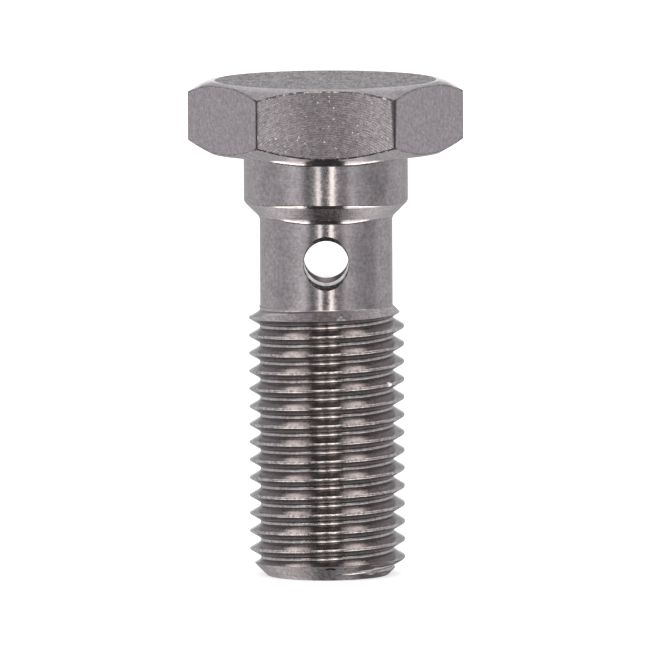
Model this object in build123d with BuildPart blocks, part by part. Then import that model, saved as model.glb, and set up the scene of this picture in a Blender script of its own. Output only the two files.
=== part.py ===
from build123d import *
import math
import os

os.makedirs("parts", exist_ok=True)

# Banjo bolt, turned from one length of hexagon bar. Millimetres, +Z up toward the head.
# Origin: centre of the end face at the tip, on which the bolt stands.

# Hexagon head
head_across_flats = 17.0
head_height = 5.13
head_corner_radius = 0.15       # broken upright edges of the hexagon
head_top_land_dia = 16.0        # flat land on top, inside the rounded rim
head_top_rim_radius = 1.5       # round between the top land and the turned-back rim
head_bearing_dia = 16.5         # flat ring that presses on the sealing washer
head_rim_angle = 30.0           # slope of both turned-back rims, from the faces

# Collar that centres the banjo eye
collar_dia = 11.7
collar_length = 3.5
collar_root_radius = 0.62       # fillet into the bearing face
collar_edge_radius = 0.38       # broken edge above the 45 degree cone

# Waist that carries fluid round the cross hole
waist_dia = 9.45
waist_foot_radius = 0.5         # fillet where the cone meets the waist

# Thread zone, left at its major diameter: 20 threads per inch, right hand
thread_major_dia = 11.05
thread_start = 10.95            # from the bearing face to the top of the lead chamfer

# Tip
shank_length = 30.25            # from the bearing face to the end face
tip_face_dia = 8.6

# Drillings
cross_hole_dia = 3.2
cross_hole_drop = 7.6           # from the bearing face to the hole's centre
cross_hole_sink_dia = 3.86      # 90 degree countersink at both mouths
axial_bore_dia = 4.0
axial_bore_rise = 0.8           # the full diameter runs this far past the cross hole's centre
drill_point_angle = 118.0
bore_mouth_chamfer = 0.3

# How far a cutting form reaches outside the metal it removes
cut_clearance = 1.0

# Radii
flat_radius = head_across_flats / 2
bearing_radius = head_bearing_dia / 2
collar_radius = collar_dia / 2
waist_radius = waist_dia / 2
major_radius = thread_major_dia / 2
tip_radius = tip_face_dia / 2
cross_radius = cross_hole_dia / 2
sink_radius = cross_hole_sink_dia / 2
bore_radius = axial_bore_dia / 2

# Heights above the end face
bearing_z = shank_length
head_top_z = bearing_z + head_height
collar_foot_z = bearing_z - collar_length
cone_foot_z = collar_foot_z - (collar_radius - waist_radius)
lead_top_z = bearing_z - thread_start
lead_foot_z = lead_top_z - (major_radius - waist_radius)
tip_chamfer_z = major_radius - tip_radius
cross_z = bearing_z - cross_hole_drop
bore_shoulder_z = cross_z + axial_bore_rise
drill_apex_z = bore_shoulder_z + bore_radius / math.tan(math.radians(drill_point_angle / 2))

# Head rims: the corner on top before rounding, and how far out the turning form reaches
rim_slope = math.tan(math.radians(head_rim_angle))
rim_corner = head_top_land_dia / 2 + head_top_rim_radius * math.tan(math.radians(head_rim_angle / 2))
rim_reach = flat_radius / math.cos(math.radians(30)) + cut_clearance

# Countersinks: where each narrows to the cross hole, and how far out the cutter reaches
sink_floor = waist_radius - (sink_radius - cross_radius)
sink_reach = waist_radius + cut_clearance

with BuildPart() as banjo_bolt:
    # Hexagon bar, one flat square to -Y
    with BuildSketch() as bar_section:
        RegularPolygon(radius=flat_radius, side_count=6, major_radius=False)
        fillet(bar_section.vertices(), radius=head_corner_radius)
    extrude(amount=head_top_z)

    # Head rims, collar, cone, waist, thread zone and tip, all turned in one section
    with BuildSketch(Plane.XZ) as turned_section:
        with BuildLine():
            Polyline(
                (0, head_top_z),
                (rim_corner, head_top_z),
                (rim_reach, head_top_z - (rim_reach - rim_corner) * rim_slope),
                (rim_reach, bearing_z + (rim_reach - bearing_radius) * rim_slope),
                (bearing_radius, bearing_z),
                (collar_radius, bearing_z),
                (collar_radius, collar_foot_z),
                (waist_radius, cone_foot_z),
                (waist_radius, lead_top_z),
                (major_radius, lead_foot_z),
                (major_radius, tip_chamfer_z),
                (tip_radius, 0),
                (0, 0),
                close=True,
            )
        make_face()
        rounds = [
            (rim_corner, head_top_z, head_top_rim_radius),
            (collar_radius, bearing_z, collar_root_radius),
            (collar_radius, collar_foot_z, collar_edge_radius),
            (waist_radius, cone_foot_z, waist_foot_radius),
        ]
        for corner_x, corner_z, round_radius in rounds:
            corner = turned_section.vertices().sort_by_distance((corner_x, corner_z))[0]
            fillet(corner, radius=round_radius)
    revolve(axis=Axis.Z, mode=Mode.INTERSECT)

    # Cross hole through the waist, countersunk at both mouths
    with BuildSketch(Plane.YZ):
        with BuildLine():
            Polyline(
                (-sink_reach, cross_z),
                (-sink_reach, cross_z + sink_radius + cut_clearance),
                (-sink_floor, cross_z + cross_radius),
                (sink_floor, cross_z + cross_radius),
                (sink_reach, cross_z + sink_radius + cut_clearance),
                (sink_reach, cross_z),
                close=True,
            )
        make_face()
    revolve(axis=Axis((0, 0, cross_z), (0, 1, 0)), mode=Mode.SUBTRACT)

    # Blind bore up from the tip into the cross hole, ending in the drill's point
    with BuildSketch(Plane.XZ):
        with BuildLine():
            Polyline(
                (0, drill_apex_z),
                (bore_radius, bore_shoulder_z),
                (bore_radius, bore_mouth_chamfer),
                (bore_radius + bore_mouth_chamfer, 0),
                (0, 0),
                close=True,
            )
        make_face()
    revolve(axis=Axis.Z, mode=Mode.SUBTRACT)

banjo_bolt.part.label = "banjo_bolt"
export_step(banjo_bolt.part, "parts/banjo_bolt.step")
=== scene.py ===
"""Banjo bolt: a hollow, cross drilled bolt, turned from hexagon bar and given a fine right-hand thread."""

import math

import bmesh
import bpy
from mathutils import Matrix, Vector


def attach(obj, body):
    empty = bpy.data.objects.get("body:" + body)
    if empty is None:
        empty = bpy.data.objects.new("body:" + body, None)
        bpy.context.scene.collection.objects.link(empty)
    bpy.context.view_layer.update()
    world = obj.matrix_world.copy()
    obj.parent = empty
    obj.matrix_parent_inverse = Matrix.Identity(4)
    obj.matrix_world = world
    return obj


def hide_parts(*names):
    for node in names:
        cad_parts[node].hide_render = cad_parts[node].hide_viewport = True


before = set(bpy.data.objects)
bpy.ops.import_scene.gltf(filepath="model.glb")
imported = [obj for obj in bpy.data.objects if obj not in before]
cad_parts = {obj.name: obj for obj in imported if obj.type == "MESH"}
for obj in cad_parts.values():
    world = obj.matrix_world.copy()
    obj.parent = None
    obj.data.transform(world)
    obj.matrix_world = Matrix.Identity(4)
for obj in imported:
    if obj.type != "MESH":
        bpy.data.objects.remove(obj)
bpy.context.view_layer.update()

# Sizes are in millimetres up to the last step, where the finished bolt is scaled to metres.
# Heights are above the end face at the tip; radii are from the bolt's own axis.
MM = 0.001

FACETS = 240                # facets in a full turn of every turned surface
PIN_FACETS = 120            # facets round the cross hole

# The bar and the head
BAR_FLAT = 8.5              # from the axis to a flat of the hexagon
BAR_CORNER = BAR_FLAT / math.cos(math.radians(30))
EDGE_BREAK = 0.087          # width taken off the hexagon's edges on each side
HEAD_TOP = 35.38
TOP_LAND = 8.0              # the flat top, inside the upper rim
BEARING = 30.25             # face that presses on the sealing washer
BEARING_EDGE = 8.25
OFF_BAR = 10.4              # a radius clear of the hexagon's corners

# The shank
COLLAR = 5.85
CONE_TOP = 26.75
CONE_FOOT = 25.625
WAIST = 4.725
LEAD_TOP = 19.30            # top of the thread's lead chamfer
TIP = 4.3                   # the end face at the tip, inside its chamfer
OFF_THREAD = 5.9            # a radius clear of the thread

# The thread
PITCH = 1.27
MAJOR = 5.525
ROOT = 4.746
CREST_HALF = 0.0794         # half the flat on a crest
ROOT_HALF = 0.1058          # half the flat in the bottom of the groove
CREST_ROUND = 0.07
ROOT_ROUND = 0.14
CREST_START = -2.52         # height of the lowest crest drawn, on the +X side
THREAD_TURNS = 18
THREAD_FOOT = -1.0                      # the threaded bar is longer than the thread at both ends
THREAD_HEAD = LEAD_TOP + 0.8
HEXAGON_FOOT = LEAD_TOP + 0.5           # and the hexagon bar starts inside it and ends over the head
HEXAGON_HEAD = HEAD_TOP + 1

# The fluid's way
BORE = 2.0
BORE_MOUTH = 2.3
BORE_END = 23.45            # where the drill point begins
DRILL_POINT = 24.652
CROSS_HOLE = 1.6
CROSS_HEIGHT = 22.65
SINK_FLOOR = 4.395          # where the countersink narrows to the cross hole
SINK_REACH = 5.725
SINK_ROUND = 0.06

# Marks from handling, each with its centre and its reach. The thread's and the lead chamfer's are coloured
# near white, a painted glint on each; the tip's are dark.
THREAD_MARKS = [
    ((4.48, -3.19, 13.90), 0.24),
    ((4.38, -3.25, 13.93), 0.16),
]
CHAMFER_GLINT_MARKS = [
    ((1.03, -5.10, 18.93), 0.16),
    ((0.88, -5.30, 18.70), 0.22),
    ((1.25, -5.28, 18.66), 0.24),
]
TIP_MARKS = [
    ((-0.05, -5.22, 0.90), 0.12),
    ((0.12, -5.24, 0.95), 0.14),
    ((0.32, -5.23, 0.95), 0.14),
    ((0.50, -5.19, 0.90), 0.12),
]


# ---------------------------------------------------------------- shaping


def round_corner(section, corner, radius, segments):
    """Rounds one corner of a drawn section."""
    arms = [(e.other_vert(corner).co - corner.co).normalized() for e in corner.link_edges]
    half_turn = (math.pi - arms[0].angle(arms[1])) / 2
    bmesh.ops.bevel(
        section,
        geom=[corner],
        offset=radius * math.tan(half_turn),
        offset_type="OFFSET",
        segments=segments,
        profile=0.5,
        affect="VERTICES",
        material=-1,
    )


def draw_section(corners):
    """Draws a half section from rows of radius, height and, at a round, the round's radius and steps."""
    section = bmesh.new()
    chain = [section.verts.new((radius, 0, height)) for radius, height, *_ in corners]
    for start, end in zip(chain, chain[1:]):
        section.edges.new((start, end))
    for corner, (_, _, *rounding) in zip(chain, corners):
        if rounding:
            round_corner(section, corner, *rounding)
    return section


def turn(section, facets=FACETS):
    """Turns a drawn section once round +Z into a closed form."""
    bmesh.ops.spin(
        section,
        geom=section.verts[:] + section.edges[:],
        cent=(0, 0, 0),
        axis=(0, 0, 1),
        dvec=(0, 0, 0),
        angle=math.tau,
        steps=facets,
        use_merge=True,
    )
    bmesh.ops.remove_doubles(section, verts=section.verts[:], dist=1e-4)
    bmesh.ops.recalc_face_normals(section, faces=section.faces[:])
    return section


def points_of(made):
    """The vertices among what an operator has made."""
    return [v for v in made if isinstance(v, bmesh.types.BMVert)]


def saw_off(form, height, keep_above):
    """Saws a form off square at a height and closes the cut."""
    cut = bmesh.ops.bisect_plane(
        form,
        geom=form.verts[:] + form.edges[:] + form.faces[:],
        dist=1e-6,
        plane_co=(0, 0, height),
        plane_no=(0, 0, 1),
        clear_inner=keep_above,
        clear_outer=not keep_above,
    )
    rim = [e for e in cut["geom_cut"] if isinstance(e, bmesh.types.BMEdge)]
    bmesh.ops.edgeloop_fill(form, edges=rim)


def place_in_scene(name, made):
    """Puts a mesh or a camera in the scene as an object at the origin."""
    held = bpy.data.objects.new(name, made)
    bpy.context.scene.collection.objects.link(held)
    return held


def put_together(first, second, how):
    """Joins, cuts or crosses two closed forms, and gives back the result."""
    blocks = []
    for form in (first, second):
        mesh = bpy.data.meshes.new("form")
        form.to_mesh(mesh)
        form.free()
        blocks.append(place_in_scene("form", mesh))
    work = blocks[0].modifiers.new("work", "BOOLEAN")
    work.object = blocks[1]
    work.operation = how
    work.solver = "MANIFOLD"
    result = bmesh.new()
    result.from_object(blocks[0], bpy.context.evaluated_depsgraph_get())
    for block in blocks:
        mesh = block.data
        bpy.data.objects.remove(block)
        bpy.data.meshes.remove(mesh)
    return result


# ---------------------------------------------------------------- the bolt's forms


def turned_blank():
    """Everything the lathe leaves: head rims, collar, cone, waist, chamfers, tip and the blind bore."""
    return turn(
        draw_section(
            [
                (0, HEAD_TOP),
                (TOP_LAND, HEAD_TOP, 1.0, 4),
                (8.60, 35.23),                              # the upper rim steepens as it falls
                (8.98, 35.046, 0.6, 2),
                (OFF_BAR, 34.226),
                (OFF_BAR, 31.491),
                (BEARING_EDGE, BEARING, 0.12, 2),
                (COLLAR, BEARING, 0.62, 14),
                (COLLAR, CONE_TOP, 0.38, 7),
                (WAIST, CONE_FOOT, 0.5, 7),
                (WAIST, LEAD_TOP, 0.12, 2),
                (OFF_THREAD, LEAD_TOP + WAIST - OFF_THREAD),
                (OFF_THREAD, OFF_THREAD - TIP),
                (TIP, 0, 0.12, 2),
                (BORE_MOUTH, 0),
                (BORE, BORE_MOUTH - BORE),
                (BORE, BORE_END),
                (0, DRILL_POINT),
            ]
        )
    )


def threaded_bar():
    """A bar with the thread running its full length: one crest and groove, swept up the helix."""
    groove = CREST_START + PITCH / 2
    bar = draw_section(
        [
            (MAJOR, CREST_START),
            (MAJOR, CREST_START + CREST_HALF, CREST_ROUND, 3),
            (ROOT, groove - ROOT_HALF, ROOT_ROUND, 3),
            (ROOT, groove + ROOT_HALF, ROOT_ROUND, 3),
            (MAJOR, CREST_START + PITCH - CREST_HALF, CREST_ROUND, 3),
            (MAJOR, CREST_START + PITCH),
        ]
    )
    bmesh.ops.spin(
        bar,
        geom=bar.verts[:] + bar.edges[:],
        cent=(0, 0, 0),
        axis=(0, 0, 1),
        dvec=(0, 0, PITCH / FACETS),
        angle=math.tau,
        steps=FACETS,
        use_merge=False,
    )
    one_turn = bar.verts[:] + bar.edges[:] + bar.faces[:]
    for count in range(1, THREAD_TURNS):
        copy = bmesh.ops.duplicate(bar, geom=one_turn)
        bmesh.ops.translate(bar, verts=points_of(copy["geom"]), vec=(0, 0, PITCH * count))
    bmesh.ops.remove_doubles(bar, verts=bar.verts[:], dist=2e-3)
    saw_off(bar, THREAD_FOOT, keep_above=True)
    saw_off(bar, THREAD_HEAD, keep_above=False)
    bmesh.ops.recalc_face_normals(bar, faces=bar.faces[:])
    return bar


def hexagon_bar():
    """The hexagon bar that the head is left from, one flat square to -Y."""
    bar = bmesh.new()
    end = bmesh.ops.create_circle(bar, cap_ends=True, segments=6, radius=BAR_CORNER)["verts"]
    flat_to_front = Matrix.Rotation(math.radians(30), 3, "Z")
    bmesh.ops.rotate(bar, verts=end, cent=(0, 0, 0), matrix=flat_to_front)
    bmesh.ops.translate(bar, verts=end, vec=(0, 0, HEXAGON_FOOT))
    grown = bmesh.ops.extrude_face_region(bar, geom=bar.faces[:])
    bmesh.ops.translate(bar, verts=points_of(grown["geom"]), vec=(0, 0, HEXAGON_HEAD - HEXAGON_FOOT))
    bmesh.ops.recalc_face_normals(bar, faces=bar.faces[:])
    return bar


def countersunk_pin():
    """The form of the cross hole: the drill's way through the waist, and a countersink at each mouth."""
    flare = CROSS_HOLE + SINK_REACH - SINK_FLOOR
    section = draw_section(
        [
            (0, SINK_REACH),
            (flare, SINK_REACH),
            (CROSS_HOLE, SINK_FLOOR, SINK_ROUND, 2),
            (CROSS_HOLE, -SINK_FLOOR, SINK_ROUND, 2),
            (flare, -SINK_REACH),
            (0, -SINK_REACH),
        ]
    )
    pin = turn(section, PIN_FACETS)
    laid_down = Matrix.Rotation(math.radians(90), 3, "X")
    bmesh.ops.rotate(pin, verts=pin.verts[:], cent=(0, 0, 0), matrix=laid_down)
    bmesh.ops.translate(pin, verts=pin.verts[:], vec=(0, 0, CROSS_HEIGHT))
    return pin


def clean(form):
    """Welds the slivers that a cut leaves and closes what is flat."""
    bmesh.ops.remove_doubles(form, verts=form.verts[:], dist=4e-3)
    bmesh.ops.dissolve_degenerate(form, edges=form.edges[:], dist=1e-3)


FLAT_AREA = 5               # only the hexagon's flats are larger


def is_hexagon_flat(face):
    """Whether a face is one of the hexagon's six large upright flats."""
    on_head = face.calc_center_median().z > BEARING
    return on_head and face.calc_area() > FLAT_AREA and abs(face.normal.z) < 0.01


def break_hexagon_edges(bolt):
    """Takes the sharpness off the hexagon's upright edges and off the arcs where its flats meet the rims."""
    edges = {e for f in bolt.faces if is_hexagon_flat(f) for e in f.edges}
    bmesh.ops.bevel(
        bolt,
        geom=list(edges),
        offset=EDGE_BREAK,
        offset_type="OFFSET",
        segments=3,
        profile=0.5,
        affect="EDGES",
        clamp_overlap=False,
        material=-1,
    )


TURNED, MILLED, FACED, CUT, DRILLED, CHAMFERED, WORN = range(7)

NEAR = 0.02                 # how far a facet's middle may lie off the drawn surface that it belongs to
CLEAR = 0.01                # how far inside a drawn surface a facet of another one lies at least
HOLE_END = SINK_FLOOR + 0.05
SINK_WIDTH = CROSS_HOLE + 0.6
BROKEN_EDGE_AREA = 0.4      # no facet of a broken edge is larger
LEVEL = 0.9999              # upward part of a level facet's normal
STEEP = 0.8                 # and at most of a broken edge's
SLANTED = math.cos(math.radians(45))


def off_flat(point):
    """How far a point lies inside the nearest of the hexagon's flats."""
    turns = [math.radians(60 * side) for side in range(6)]
    return BAR_FLAT - max(point.x * math.sin(t) - point.y * math.cos(t) for t in turns)


def finish_of(face):
    """Which finish a face has, by where it lies, as its number in the list of finishes."""
    middle = face.calc_center_median()
    out = math.hypot(middle.x, middle.y)
    off_hole = math.hypot(middle.x, middle.z - CROSS_HEIGHT) - CROSS_HOLE
    if out < BORE + NEAR or (off_hole < NEAR and abs(middle.y) < HOLE_END):
        return DRILLED
    on_end = middle.z > BEARING + 1 or middle.z < CLEAR
    if on_end and abs(face.normal.z) > LEVEL:
        return FACED
    if is_hexagon_flat(face):
        return MILLED
    on_bar = middle.z > BEARING and out < BAR_CORNER and off_flat(middle) < EDGE_BREAK
    if on_bar and face.calc_area() < BROKEN_EDGE_AREA and abs(face.normal.z) < STEEP:
        return WORN
    under_lead = out + middle.z - WAIST - LEAD_TOP < -CLEAR
    above_tip = out - middle.z - TIP < -CLEAR
    if middle.z < LEAD_TOP and under_lead and above_tip:
        return CUT
    slanted = abs(abs(face.normal.z) - SLANTED) < NEAR
    on_cone = abs(out - middle.z - WAIST + CONE_FOOT) < NEAR
    if slanted and (on_cone or middle.z < LEAD_TOP):
        return CHAMFERED
    on_sink = abs(off_hole - abs(middle.y) + SINK_FLOOR) < NEAR
    by_hole = abs(middle.z - CROSS_HEIGHT) < SINK_WIDTH and out < WAIST - 0.001
    if on_sink and by_hole:
        return CHAMFERED
    return TURNED


def shape_bolt():
    """Crosses the turned blank with the bars, drills it, breaks its edges and tells each face's finish."""
    stock = put_together(threaded_bar(), hexagon_bar(), "UNION")
    bolt = put_together(turned_blank(), stock, "INTERSECT")
    bolt = put_together(bolt, countersunk_pin(), "DIFFERENCE")
    clean(bolt)
    break_hexagon_edges(bolt)
    for face in bolt.faces:
        face.material_index = finish_of(face)
    mesh = bpy.data.meshes.new("banjo_bolt_form")
    bolt.to_mesh(mesh)
    bolt.free()
    mesh.shade_smooth()
    mesh.set_sharp_from_angle(angle=math.radians(32))
    return place_in_scene("banjo_bolt_turned", mesh)


def settle(body):
    """Keeps large surfaces true beside their small rounds, then scales the bolt to metres."""
    true = body.modifiers.new("true surfaces", "WEIGHTED_NORMAL")
    true.keep_sharp = True
    true.weight = 100
    graph = bpy.context.evaluated_depsgraph_get()
    settled = body.evaluated_get(graph)
    mesh = bpy.data.meshes.new_from_object(settled, preserve_all_data_layers=True, depsgraph=graph)
    body.modifiers.clear()
    form = body.data
    body.data = mesh
    bpy.data.meshes.remove(form)
    mesh.name = "banjo_bolt_metal"
    mesh.transform(Matrix.Scale(MM, 4))


bolt = shape_bolt()
settle(bolt)
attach(bolt, "root")
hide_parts("banjo_bolt")


# ---------------------------------------------------------------- mixing


DIM = 0.45                  # light level at the far left and far right of every zone
LAMP_FROM = 0.9             # a light level above this is a lamp's


def lamp_colour(level):
    """The colour of a light level: grey when it is low, and a little warm when it is a lamp's."""
    warmth = min(max((level - LAMP_FROM) / 2, 0), 1)
    return (level, level * (1 - 0.03 * warmth), level * (1 - 0.12 * warmth), 1)


class Mixer:
    """Builds up one node tree. A source is a number, a colour or a place, or the output of another node."""

    def __init__(self, tree):
        self.tree = tree

    def feed(self, socket, source):
        """Gives one socket its source."""
        if isinstance(source, bpy.types.NodeSocket):
            self.tree.links.new(source, socket)
        else:
            socket.default_value = source

    def node(self, kind, *sources, **settings):
        """Adds a node, with its sources in the order of its own inputs."""
        made = self.tree.nodes.new(kind)
        for name, value in settings.items():
            setattr(made, name, value)
        for socket, source in zip(made.inputs, sources):
            self.feed(socket, source)
        return made

    def reckon(self, operation, *sources):
        """Works out one number from others."""
        return self.node("ShaderNodeMath", *sources, operation=operation).outputs[0]

    def reckon_place(self, operation, *sources):
        """The node for a sum on places or colours, which are three numbers each."""
        return self.node("ShaderNodeVectorMath", *sources, operation=operation)

    def times(self, first, second):
        return self.reckon("MULTIPLY", first, second)

    def total(self, first, *others):
        for other in others:
            first = self.reckon("ADD", first, other)
        return first

    def mixture(self, *parts):
        """Adds up values, each times its share."""
        return self.total(*(self.times(value, share) for value, share in parts))

    def rise(self, value, start, end, low=0.0, high=1.0):
        """Takes a value's way from start to end to the way from low to high, and holds it there past both."""
        return self.node("ShaderNodeMapRange", value, start, end, low, high).outputs[0]

    def between(self, value, start, full, fade, end):
        """One from full to fade, and nothing before start and after end."""
        return self.times(self.rise(value, start, full), self.rise(value, end, fade))

    def blend(self, share, first, second):
        """Mixes two colours."""
        mix = self.tree.nodes.new("ShaderNodeMix")
        mix.data_type = "RGBA"
        for name, source in (("Factor_Float", share), ("A_Color", first), ("B_Color", second)):
            self.feed(next(i for i in mix.inputs if i.identifier == name), source)
        return next(o for o in mix.outputs if o.identifier == "Result_Color")

    def shade(self, tone, start, end, deep, pale):
        """Goes from a deep to a pale colour while a tone goes from start to end."""
        return self.blend(self.rise(tone, start, end), deep, pale)

    def place(self, x, y, z=0.0):
        return self.node("ShaderNodeCombineXYZ", x, y, z).outputs[0]

    def grain(self, place, scale, detail=2.0, roughness=0.6):
        """Soft noise, in grains to the millimetre."""
        made = self.node("ShaderNodeTexNoise", place)
        made.inputs["Scale"].default_value = scale
        made.inputs["Detail"].default_value = detail
        made.inputs["Roughness"].default_value = roughness
        return made.outputs[0]

    def shake(self, place, scale, reach):
        """Moves a place about by soft noise, so that what is drawn there isn't regular."""
        noise = self.node("ShaderNodeTexNoise", place)
        noise.inputs["Scale"].default_value = scale
        moved = self.reckon_place("SCALE", noise.outputs["Color"])
        moved.inputs["Scale"].default_value = reach
        return self.reckon_place("ADD", place, moved.outputs[0]).outputs[0]

    def levels(self, side, stops):
        """A ramp of light levels from rows of degrees to the right and level."""
        ramp = self.node("ShaderNodeValToRGB", side)
        band = ramp.color_ramp
        for end in band.elements:
            end.color = lamp_colour(DIM)
        for angle, level in stops:
            band.elements.new(angle / 180 + 0.5).color = lamp_colour(level)
        return ramp.outputs["Color"]


class Steel(Mixer):
    """One finish of the steel. It knows where a point lies on the bolt, in millimetres and round the axis."""

    def __init__(self, name):
        self.material = bpy.data.materials.new(name)
        self.material.use_nodes = True
        super().__init__(self.material.node_tree)
        self.skin = self.tree.nodes["Principled BSDF"]
        self.skin.inputs["Metallic"].default_value = 1.0
        scaled = self.reckon_place("SCALE", self.node("ShaderNodeTexCoord").outputs["Object"])
        scaled.inputs["Scale"].default_value = 1 / MM
        self.point = scaled.outputs[0]
        self.x, self.y, self.z = self.node("ShaderNodeSeparateXYZ", self.point).outputs
        squares = self.total(self.reckon("POWER", self.x, 2), self.reckon("POWER", self.y, 2))
        self.radius = self.reckon("SQRT", squares)
        self.round_axis = self.reckon("ARCTAN2", self.x, self.times(self.y, -1))

    def level_with(self, height, reach):
        """One within reach above and below a height, and nothing further off."""
        off = self.reckon("ABSOLUTE", self.reckon("SUBTRACT", self.z, height))
        return self.rise(off, reach + 0.1, reach)

    def struck(self, marks):
        """Where the surface has been struck."""
        edge = self.grain(self.point, 7.0)
        hit = 0.0
        for centre, reach in marks:
            away = self.reckon_place("DISTANCE", self.point, centre).outputs["Value"]
            ragged = self.total(away, self.times(edge, reach))
            hit = self.reckon("MAXIMUM", hit, self.rise(ragged, reach * 1.45, reach * 1.15))
        return hit

    def finish(self, colour, roughness, relief, microns):
        """Dresses the skin. The relief's height from 0 to 1 is so many microns."""
        self.feed(self.skin.inputs["Base Color"], colour)
        self.feed(self.skin.inputs["Roughness"], roughness)
        bump = self.node("ShaderNodeBump")
        self.feed(bump.inputs["Distance"], microns * 1e-6)
        self.feed(bump.inputs["Height"], relief)
        self.feed(self.skin.inputs["Normal"], bump.outputs[0])
        return self.material


# ---------------------------------------------------------------- finishes of the steel


def turned_steel():
    """Left by the lathe and dulled by tumbling: fine rings, and a faint mottle over them."""
    steel = Steel("turned_steel")
    mottle = steel.grain(steel.point, 4.2, 3.0, 0.65)
    cloud = steel.grain(steel.point, 0.9)
    rings = steel.grain(steel.place(steel.radius, steel.z, steel.times(steel.round_axis, 0.4)), 9.0, 3.0, 0.7)
    tone = steel.mixture((mottle, 0.75), (rings, 0.25), (cloud, 0.35))
    colour = steel.shade(tone, 0.54, 0.82, (0.318, 0.289, 0.304, 1), (0.512, 0.470, 0.494, 1))
    roughness = steel.rise(mottle, 0.3, 0.7, 0.11, 0.19)
    relief = steel.mixture((mottle, 1.0), (rings, 0.25))
    return steel.finish(colour, roughness, relief, 3.4)


CUTTER_HEIGHT = 25.6        # the arcs on each flat are centred at this height, below the head
CUTTER_FEED = 0.165         # from one arc to the next
HALF_SIDE = BAR_CORNER / 2  # half the width of each flat


def cutter_arcs(steel, across, side):
    """What the milling cutter leaves on a flat: the waves of its feed, and the scratches of its teeth."""
    rise_over_centre = steel.reckon("SUBTRACT", steel.z, CUTTER_HEIGHT)
    squares = steel.total(steel.reckon("POWER", across, 2), steel.reckon("POWER", rise_over_centre, 2))
    reach = steel.reckon("SQRT", squares)
    wobble = steel.grain(steel.point, 1.6)
    swing = steel.mixture((reach, math.tau / CUTTER_FEED), (wobble, 9.0))
    waves = steel.reckon("MULTIPLY_ADD", steel.reckon("SINE", swing), 0.5, 0.5)
    along_arcs = steel.place(steel.times(reach, 11.0), steel.times(across, 1.3), side)
    return waves, steel.grain(along_arcs, 1.0, 3.0, 0.7)


def painted_corner_shade(steel):
    """Painted shade at the hexagon's front right corner, wider toward the top."""
    upright = steel.reckon_place("MULTIPLY", steel.point, (1, 1, 0)).outputs[0]
    away = steel.reckon_place("DISTANCE", upright, (HALF_SIDE, -BAR_FLAT, 0)).outputs["Value"]
    ragged = steel.total(away, steel.times(steel.grain(steel.point, 3.0), 0.16))
    narrowed = steel.total(ragged, steel.rise(steel.z, HEAD_TOP - 0.78, BEARING + 1.15, 0, 0.14))
    return steel.rise(narrowed, 0.42, 0.30, 0, 0.8)


def nicks_and_glints(steel, front):
    """Nicks from handling, coloured near white as a painted glint: crowded on the front flat, thinner toward
    its right, and few on the others.
    """
    cells = steel.node("ShaderNodeTexVoronoi", steel.shake(steel.point, 5.0, 0.35))
    cells.inputs["Scale"].default_value = 2.9
    lot, size, _ = steel.node("ShaderNodeSeparateXYZ", cells.outputs["Color"]).outputs
    crowd = steel.rise(steel.grain(steel.point, 0.55, 1.0), 0.40, 0.62, 0.35, 0.95)
    share = steel.times(steel.rise(front, 0, 1, 0.06, 1.0), steel.rise(steel.x, 3.4, -0.6, 0.4, 1))
    chosen = steel.reckon("LESS_THAN", lot, steel.times(crowd, share))
    reach = steel.reckon("MULTIPLY_ADD", size, 0.15, 0.07)
    return steel.times(chosen, steel.rise(cells.outputs["Distance"], reach, 0.05))


def milled_steel():
    """The hexagon's flats, left by the cutter and nicked in handling, the front one most of all. The front
    flat's own colours are a painted reflection, the darkening along the edges and at the front right corner
    is painted shade, and the nicks' near-white colour is a painted glint.
    """
    steel = Steel("milled_steel")
    sixth = math.pi / 3
    side = steel.reckon("ROUND", steel.reckon("DIVIDE", steel.round_axis, sixth))
    off_side = steel.reckon("SUBTRACT", steel.round_axis, steel.times(side, sixth))
    across = steel.times(steel.radius, steel.reckon("SINE", off_side))
    off_middle = steel.reckon("ABSOLUTE", across)
    front = steel.rise(steel.y, 0.20 - BAR_FLAT, 0.08 - BAR_FLAT)
    waves, scratches = cutter_arcs(steel, across, side)
    mottle = steel.grain(steel.point, 3.8, 4.0, 0.75)
    tone = steel.mixture(
        (waves, steel.rise(front, 0, 1, 0.05, 0.16)),
        (scratches, steel.rise(front, 0, 1, 0.25, 0.7)),
        (mottle, 1.0),
    )
    bright_side = steel.shade(tone, 0.50, 0.92, (0.318, 0.285, 0.308, 1), (0.597, 0.543, 0.592, 1))
    # The front flat's colours, darker in its middle and paler toward its corners, are a painted reflection.
    painted_dark_front = steel.shade(tone, 0.66, 1.16, (0.178, 0.158, 0.178, 1), (0.480, 0.437, 0.484, 1))
    painted_pale_front = steel.shade(tone, 0.66, 1.16, (0.325, 0.296, 0.326, 1), (0.715, 0.662, 0.720, 1))
    patch = steel.grain(steel.point, 0.35, 1.0)
    reflection_toward_corner = steel.rise(steel.total(off_middle, patch), 1.6, 4.4)
    plain = steel.blend(front, bright_side, steel.blend(reflection_toward_corner, painted_dark_front, painted_pale_front))
    # Painted shade along the edges of every flat and at the front right corner.
    shade_by_edge = steel.rise(off_middle, HALF_SIDE - 0.2475, HALF_SIDE - 0.1075, 0, 0.35)
    edge_and_corner_shade = steel.reckon("MAXIMUM", shade_by_edge, painted_corner_shade(steel))
    plain = steel.blend(edge_and_corner_shade, plain, (0.070, 0.060, 0.064, 1))
    nick_and_glint = nicks_and_glints(steel, front)
    # The nicks are near white: real nicks with a painted glint.
    colour = steel.blend(steel.times(nick_and_glint, 0.85), plain, (0.96, 0.94, 0.96, 1))
    roughness = steel.rise(nick_and_glint, 0, 1, 0.20, 0.55)
    relief = steel.mixture((waves, 0.25), (scratches, 1.0), (mottle, 1.0), (nick_and_glint, 2.0))
    return steel.finish(colour, roughness, relief, 3.0)


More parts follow.
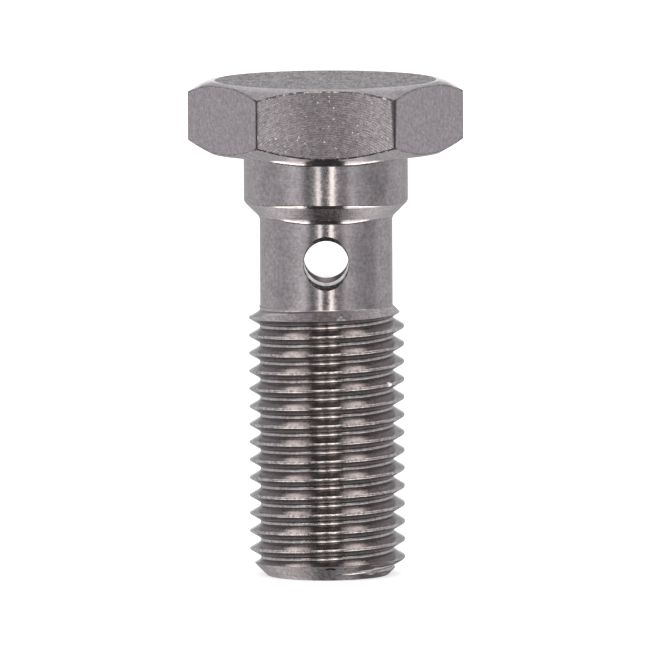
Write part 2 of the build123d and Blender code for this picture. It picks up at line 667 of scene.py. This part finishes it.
def faced_steel():
    """The end faces: ground front to back on a belt, then pitted by tumbling."""
    steel = Steel("faced_steel")
    strokes = steel.place(steel.times(steel.x, 5.6), steel.times(steel.y, 0.70), steel.z)
    ground = steel.grain(strokes, 1.0, 4.0, 0.75)
    pits = steel.grain(steel.point, 1.1, 5.0, 0.8)
    tone = steel.mixture((ground, 1.0), (pits, 0.7))
    colour = steel.shade(tone, 0.68, 1.02, (0.190, 0.174, 0.190, 1), (0.345, 0.318, 0.345, 1))
    roughness = steel.rise(tone, 0.66, 1.04, 0.68, 0.25)
    return steel.finish(colour, roughness, tone, 9.0)


def cut_steel():
    """The thread, chased down the helix: streaks along its flanks, darker than the turned skin."""
    steel = Steel("cut_steel")
    climbed = steel.reckon("SUBTRACT", steel.z, steel.times(steel.round_axis, PITCH / math.tau))
    along_flank = steel.place(steel.times(steel.radius, 8.0), steel.times(climbed, 8.0), steel.round_axis)
    streaks = steel.grain(along_flank, 1.0, 3.0, 0.7)
    mottle = steel.grain(steel.point, 4.5, 3.0, 0.7)
    tone = steel.total(streaks, mottle)
    flank = steel.shade(tone, 0.74, 1.26, (0.326, 0.299, 0.306, 1), (0.552, 0.512, 0.526, 1))
    worn_and_highlit = steel.shade(mottle, 0.36, 0.60, (0.330, 0.300, 0.308, 1), (0.660, 0.620, 0.626, 1))

    # Painted shade beside the root, and under the crest on the flank that faces down. All along a crest,
    # climbed is CREST_START less a quarter of the pitch, because round_axis starts a quarter turn before +X.
    over_crest = steel.reckon("SUBTRACT", climbed, CREST_START - PITCH / 4)
    facing_down = steel.rise(steel.reckon("FRACT", steel.reckon("DIVIDE", over_crest, PITCH)), 0.50, 0.52)
    shade_by_root = steel.between(steel.radius, ROOT + 0.019, ROOT + 0.039, ROOT + 0.124, ROOT + 0.184)
    shade_under_crest = steel.times(steel.rise(steel.radius, MAJOR - 0.225, MAJOR - 0.145), facing_down)
    painted_shade = steel.times(steel.total(shade_by_root, shade_under_crest), 0.58)
    painted_shade_colour = steel.blend(painted_shade, flank, (0.060, 0.048, 0.046, 1))

    # Crests and the groove's bottom are paler, partly polished by use and the tool's nose, and partly a
    # painted highlight.
    crest = steel.rise(steel.radius, MAJOR - 0.085, MAJOR - 0.025)
    polish_and_highlight = steel.total(crest, steel.rise(steel.radius, ROOT + 0.029, ROOT + 0.004, 0, 0.6))
    # The struck marks are near white and not metallic: real dings with a painted glint.
    chip_and_glint = steel.struck(THREAD_MARKS)
    colour = steel.blend(chip_and_glint, steel.blend(polish_and_highlight, painted_shade_colour, worn_and_highlit), (0.96, 0.94, 0.96, 1))
    dull = steel.rise(mottle, 0.3, 0.7, 0.13, 0.24)
    steel.feed(steel.skin.inputs["Metallic"], steel.rise(chip_and_glint, 0, 1, 1, 0))
    return steel.finish(colour, steel.rise(chip_and_glint, 0, 1, dull, 0.7), steel.total(tone, chip_and_glint), 2.6)


def drilled_steel():
    """Inside the cross hole, which is reamed bright and darker on its near half as painted shade, and the
    bore, which is left as drilled and coloured near white as a painted highlight.
    """
    steel = Steel("drilled_steel")
    mottle = steel.grain(steel.point, 5.0, 3.0, 0.7)
    bored = steel.rise(steel.radius, BORE + 0.03, BORE + 0.01)
    before_bore = steel.rise(steel.y, 0.1 - BORE, -0.1 - BORE)
    reamed = steel.shade(mottle, 0.35, 0.65, (0.62, 0.60, 0.61, 1), (0.78, 0.77, 0.78, 1))
    painted_shade_colour = steel.shade(mottle, 0.40, 0.60, (0.290, 0.272, 0.282, 1), (0.640, 0.615, 0.630, 1))
    # The near half of the cross hole is darker: painted shade.
    reamed = steel.blend(before_bore, reamed, painted_shade_colour)
    # The bore's wall is near white: a painted highlight.
    colour = steel.blend(bored, reamed, (0.90, 0.85, 0.88, 1))
    smooth = steel.total(steel.rise(mottle, 0.3, 0.7, 0.07, 0.13), steel.times(before_bore, 0.16))
    return steel.finish(colour, steel.rise(bored, 0, 1, smooth, 0.38), mottle, 1.0)


def chamfered_steel():
    """The 45 degree cuts, dull and darker: the collar's cone, the thread's two ends and the hole's mouths.
    The lead chamfer is paler as painted light, the mouths are darkened further as painted shade, and the
    struck marks on the lead are near white as a painted glint.
    """
    steel = Steel("chamfered_steel")
    lead = steel.level_with(LEAD_TOP, 1.2)
    tip = steel.level_with(0, 1.5)
    mouth = steel.level_with(CROSS_HEIGHT, 2.2)
    mottle = steel.grain(steel.point, 4.4, 4.0, 0.75)
    rings = steel.grain(steel.place(steel.radius, steel.z, steel.times(steel.round_axis, 0.5)), 7.0, 3.0, 0.7)
    tone = steel.mixture((mottle, 1.0), (rings, 0.4))
    # The lead chamfer is paler than the cone: painted light.
    deep = steel.blend(lead, (0.200, 0.180, 0.190, 1), (0.240, 0.216, 0.226, 1))
    pale = steel.blend(lead, (0.408, 0.374, 0.394, 1), (0.640, 0.590, 0.618, 1))
    deep = steel.blend(tip, deep, (0.150, 0.134, 0.142, 1))
    pale = steel.blend(tip, pale, (0.470, 0.430, 0.451, 1))
    colour = steel.shade(tone, 0.52, 0.90, deep, pale)
    # The hole's mouths are darkened further: painted shade.
    shaded_mouth = steel.times(mouth, steel.rise(mottle, 0.35, 0.65, 0.9, 0.1))
    colour = steel.blend(shaded_mouth, colour, (0.045, 0.038, 0.042, 1))
    dragged = steel.place(steel.times(steel.z, 5.0), steel.times(steel.round_axis, 2.2))
    drag = steel.grain(dragged, 1.0, 4.0, 0.7)
    scuff = steel.shade(drag, 0.53, 0.66, (0.040, 0.034, 0.036, 1), (0.460, 0.430, 0.446, 1))
    scuffed = steel.times(tip, steel.rise(steel.x, 1.0, 2.4))
    colour = steel.blend(scuffed, colour, scuff)
    # The lead chamfer's struck marks are near white: real dings with a painted glint.
    colour = steel.blend(steel.struck(CHAMFER_GLINT_MARKS), colour, (0.90, 0.88, 0.90, 1))
    colour = steel.blend(steel.struck(TIP_MARKS), colour, (0.020, 0.016, 0.016, 1))
    coarse = steel.mixture((tip, 0.14), (lead, 0.10))
    roughness = steel.total(steel.rise(mottle, 0.3, 0.7, 0.24, 0.32), coarse)
    return steel.finish(colour, roughness, tone, 3.0)


def edge_wear_and_shade_steel():
    """The hexagon's broken edges, darkened as painted shade, most at the front and on the corners, with pale
    chips that are partly wear and partly a painted glint.
    """
    steel = Steel("edge_wear_and_shade_steel")
    chips = steel.grain(steel.point, 2.6, 4.0, 0.7)
    corner = steel.rise(steel.radius, BAR_CORNER - 0.265, BAR_CORNER - 0.115)
    front = steel.rise(steel.y, 0.25 - BAR_FLAT, 0.14 - BAR_FLAT)
    few = steel.rise(steel.mixture((chips, 1.0), (front, -0.03)), 0.46, 0.58)
    chip_and_glint = steel.times(few, steel.rise(corner, 0, 1, 1.0, 0.1))
    # Painted shade along the edges, darker at the front and on the corners.
    painted_edge_shade = steel.blend(front, (0.270, 0.245, 0.256, 1), (0.110, 0.097, 0.101, 1))
    painted_edge_shade = steel.blend(corner, painted_edge_shade, (0.085, 0.074, 0.078, 1))
    # Pale chips: partly wear, partly a painted glint.
    chip_and_glint_colour = steel.blend(front, (0.420, 0.386, 0.402, 1), (0.560, 0.532, 0.552, 1))
    colour = steel.blend(chip_and_glint, painted_edge_shade, chip_and_glint_colour)
    roughness = steel.rise(chips, 0.3, 0.7, 0.48, 0.36)
    return steel.finish(colour, roughness, chips, 4.0)


# In the order of the numbers that finish_of gives
FINISHES = (
    turned_steel,
    milled_steel,
    faced_steel,
    cut_steel,
    drilled_steel,
    chamfered_steel,
    edge_wear_and_shade_steel,
)
for finish in FINISHES:
    bolt.data.materials.append(finish())


# ---------------------------------------------------------------- studio


# Light levels in each zone of height, as rows of degrees to the right and level
WALLS = [
    (-80, 0.55), (-70, 0.65), (-57, 0.70), (-46, 0.66), (-44.5, 0.57), (-33, 0.66), (-23, 0.95),
    (-18.5, 0.88), (-15, 0.42), (-12.5, 0.26), (-8.5, 0.48), (-7, 0.7), (-6.5, 2.4), (-4.2, 2.4),
    (-3.5, 0.4), (-1.5, 0.22), (1.5, 0.22), (2.3, 0.4), (2.9, 3.0), (5.8, 3.0), (6.6, 0.5),
    (8, 0.44), (10.5, 0.48), (13, 0.38), (18, 0.88), (25, 0.6), (36, 0.43), (46, 0.48), (49, 0.65),
    (62, 0.68),
]
SKIRTING = [
    (-60, 0.6), (-42, 0.5), (-34, 0.12), (-13, 0.08), (13, 0.08), (34, 0.12), (42, 0.5), (60, 0.6),
]
SHELF = [
    (-60, 0.6), (-44, 0.7), (-40, 1.0), (-37, 4.4), (-16, 4.4), (-13.5, 0.07), (13, 0.07),
    (15.5, 4.4), (27, 4.4), (37, 3.4), (41, 1.0), (45, 0.7), (60, 0.6),
]
TABLE = [
    (-60, 0.6), (-44, 0.7), (-40, 0.9), (-37, 1.7), (-16, 1.9), (-13.5, 0.07), (13, 0.07),
    (15.5, 1.9), (27, 1.7), (37, 1.4), (41, 0.9), (45, 0.7), (60, 0.6),
]
UNDER = [
    (-60, 0.85), (-40, 1.5), (-16, 1.5), (-13, 0.07), (13, 0.07), (16, 1.5), (40, 1.5), (60, 0.85),
]
LEDGE = [
    (-60, 0.52), (-35, 0.66), (35, 0.66), (60, 0.52),
]
LAMPS = [
    (-60, 0.7), (-40, 0.6), (-23, 0.95), (-15, 0.42), (-7.5, 0.35), (-6, 2.8), (-3, 2.8),
    (-1.5, 0.35), (2, 0.35), (3.5, 3.4), (6.5, 3.4), (8.5, 0.4), (13, 0.38), (20, 0.9), (36, 0.5),
    (60, 0.65),
]
WINDOW = [
    (-60, 0.8), (-40, 1.3), (-32, 2.2), (-25, 2.2), (-21, 0.6), (-13, 0.6), (-8, 3.2), (9, 3.2),
    (12, 1.2), (16, 0.6), (22, 0.6), (27, 2.4), (34, 2.4), (40, 1.2), (60, 0.8),
]
ROOF = [
    (-70, 0.48), (-45, 0.74), (-25, 0.84), (25, 0.84), (45, 0.74), (70, 0.48),
]
EAVES = [
    (-75, 1.2), (-28, 1.5), (-12, 0.9), (12, 0.9), (28, 1.5), (75, 1.2),
]
LOFT = (0.30, 0.30, 0.30, 1)
SKYLIGHT = (1.0, 1.0, 1.0, 1)
CEILING = (0.310, 0.288, 0.304, 1)
PANEL = (1.15, 1.15, 1.15, 1)
TO_FRONT = (0, -0.9954, 0.0958)     # from the bolt to the front, a little above level


def back_panel(sky, direction):
    """Where the pale panel stands behind the bolt."""
    across, away, up = sky.node("ShaderNodeSeparateXYZ", direction).outputs
    width = sky.rise(sky.reckon("ABSOLUTE", across), 0.16, 0.11)
    behind = sky.rise(away, 0.8, 0.85)
    return sky.times(sky.times(width, behind), sky.between(up, -0.14, -0.11, 0.12, 0.15))


def studio_light():
    """A soft studio. Directions are told by how a surface would have to face to mirror them to the front."""
    world = bpy.data.worlds.new("studio")
    bpy.context.scene.world = world
    world.use_nodes = True
    sky = Mixer(world.node_tree)
    sky.tree.nodes.clear()
    direction = sky.node("ShaderNodeTexCoord").outputs["Generated"]
    facing = sky.reckon_place("NORMALIZE", sky.reckon_place("ADD", direction, TO_FRONT).outputs[0])
    right, back, height = sky.node("ShaderNodeSeparateXYZ", facing.outputs[0]).outputs
    sideways = sky.reckon("ARCTAN2", right, sky.times(back, -1))
    side = sky.rise(sideways, -math.pi / 2, math.pi / 2)
    droop = sky.rise(sky.reckon("ABSOLUTE", sideways), math.radians(20), math.radians(46), 0, 0.3)
    drooped = sky.total(height, droop)
    light = sky.levels(side, WALLS)

    # Each zone takes over from what is before it while the measure goes from the first number to the second.
    for measure, start, end, zone in (
        (drooped, -0.05, -0.08, sky.levels(side, SKIRTING)),
        (drooped, -0.20, -0.24, sky.levels(side, SHELF)),
        (drooped, -0.34, -0.38, sky.levels(side, TABLE)),
        (height, -0.60, -0.66, sky.levels(side, UNDER)),
        (height, -0.77, -0.82, sky.levels(side, LEDGE)),
        (height, 0.09, 0.13, sky.levels(side, LAMPS)),
        (height, 0.30, 0.34, sky.levels(side, WINDOW)),
        (height, 0.44, 0.50, LOFT),
        (height, 0.60, 0.66, SKYLIGHT),
        (height, 0.76, 0.82, sky.levels(side, ROOF)),
        (height, 0.974, 0.978, sky.levels(side, EAVES)),
        (height, 0.987, 0.991, CEILING),
    ):
        light = sky.blend(sky.rise(measure, start, end), light, zone)
    light = sky.blend(back_panel(sky, direction), light, PANEL)
    studio = sky.node("ShaderNodeBackground", light)
    backdrop = sky.node("ShaderNodeBackground", (1, 1, 1, 1))
    to_camera = sky.node("ShaderNodeLightPath").outputs["Is Camera Ray"]
    seen = sky.node("ShaderNodeMixShader", to_camera, studio.outputs[0], backdrop.outputs[0])
    sky.node("ShaderNodeOutputWorld", seen.outputs[0])


studio_light()

FLOOR_REACH = 0.6           # metres from the bolt to the floor's edges


def floor():
    """A plain white floor that keeps a faint shadow under the tip."""
    form = bmesh.new()
    bmesh.ops.create_grid(form, x_segments=1, y_segments=1, size=FLOOR_REACH)
    mesh = bpy.data.meshes.new("floor")
    form.to_mesh(mesh)
    form.free()
    sheet = place_in_scene("floor", mesh)
    white = bpy.data.materials.new("floor_white")
    white.use_nodes = True
    skin = white.node_tree.nodes["Principled BSDF"]
    skin.inputs["Base Color"].default_value = (0.8, 0.8, 0.8, 1)
    skin.inputs["Roughness"].default_value = 1.0
    skin.inputs["Specular IOR Level"].default_value = 0.0
    skin.inputs["Emission Color"].default_value = (1, 1, 1, 1)
    skin.inputs["Emission Strength"].default_value = 0.6
    mesh.materials.append(white)
    sheet.visible_glossy = False


floor()

LENS = 1167                         # a very long lens and a sensor's width, in millimetres
SENSOR = 36
EYE_AWAY = 1.5                      # metres
EYE_TILT = math.radians(5.5)        # how far it looks down
EYE_ROLL = math.radians(-0.29)
AIM = Vector((-0.00011, 0, 0.01785))


def camera():
    """A camera to the front, a little above level, that looks at the bolt's middle."""
    eye = bpy.data.cameras.new("eye")
    eye.lens = LENS
    eye.sensor_width = SENSOR
    eye.clip_start = 0.1
    eye.clip_end = 5
    holder = place_in_scene("eye", eye)
    away = Vector((0, -math.cos(EYE_TILT), math.sin(EYE_TILT)))
    look = (-away).to_track_quat("-Z", "Y").to_matrix().to_4x4()
    holder.matrix_world = Matrix.Translation(AIM + away * EYE_AWAY) @ look @ Matrix.Rotation(EYE_ROLL, 4, "Z")
    bpy.context.scene.camera = holder


camera()
bpy.context.scene.view_settings.view_transform = "Standard"
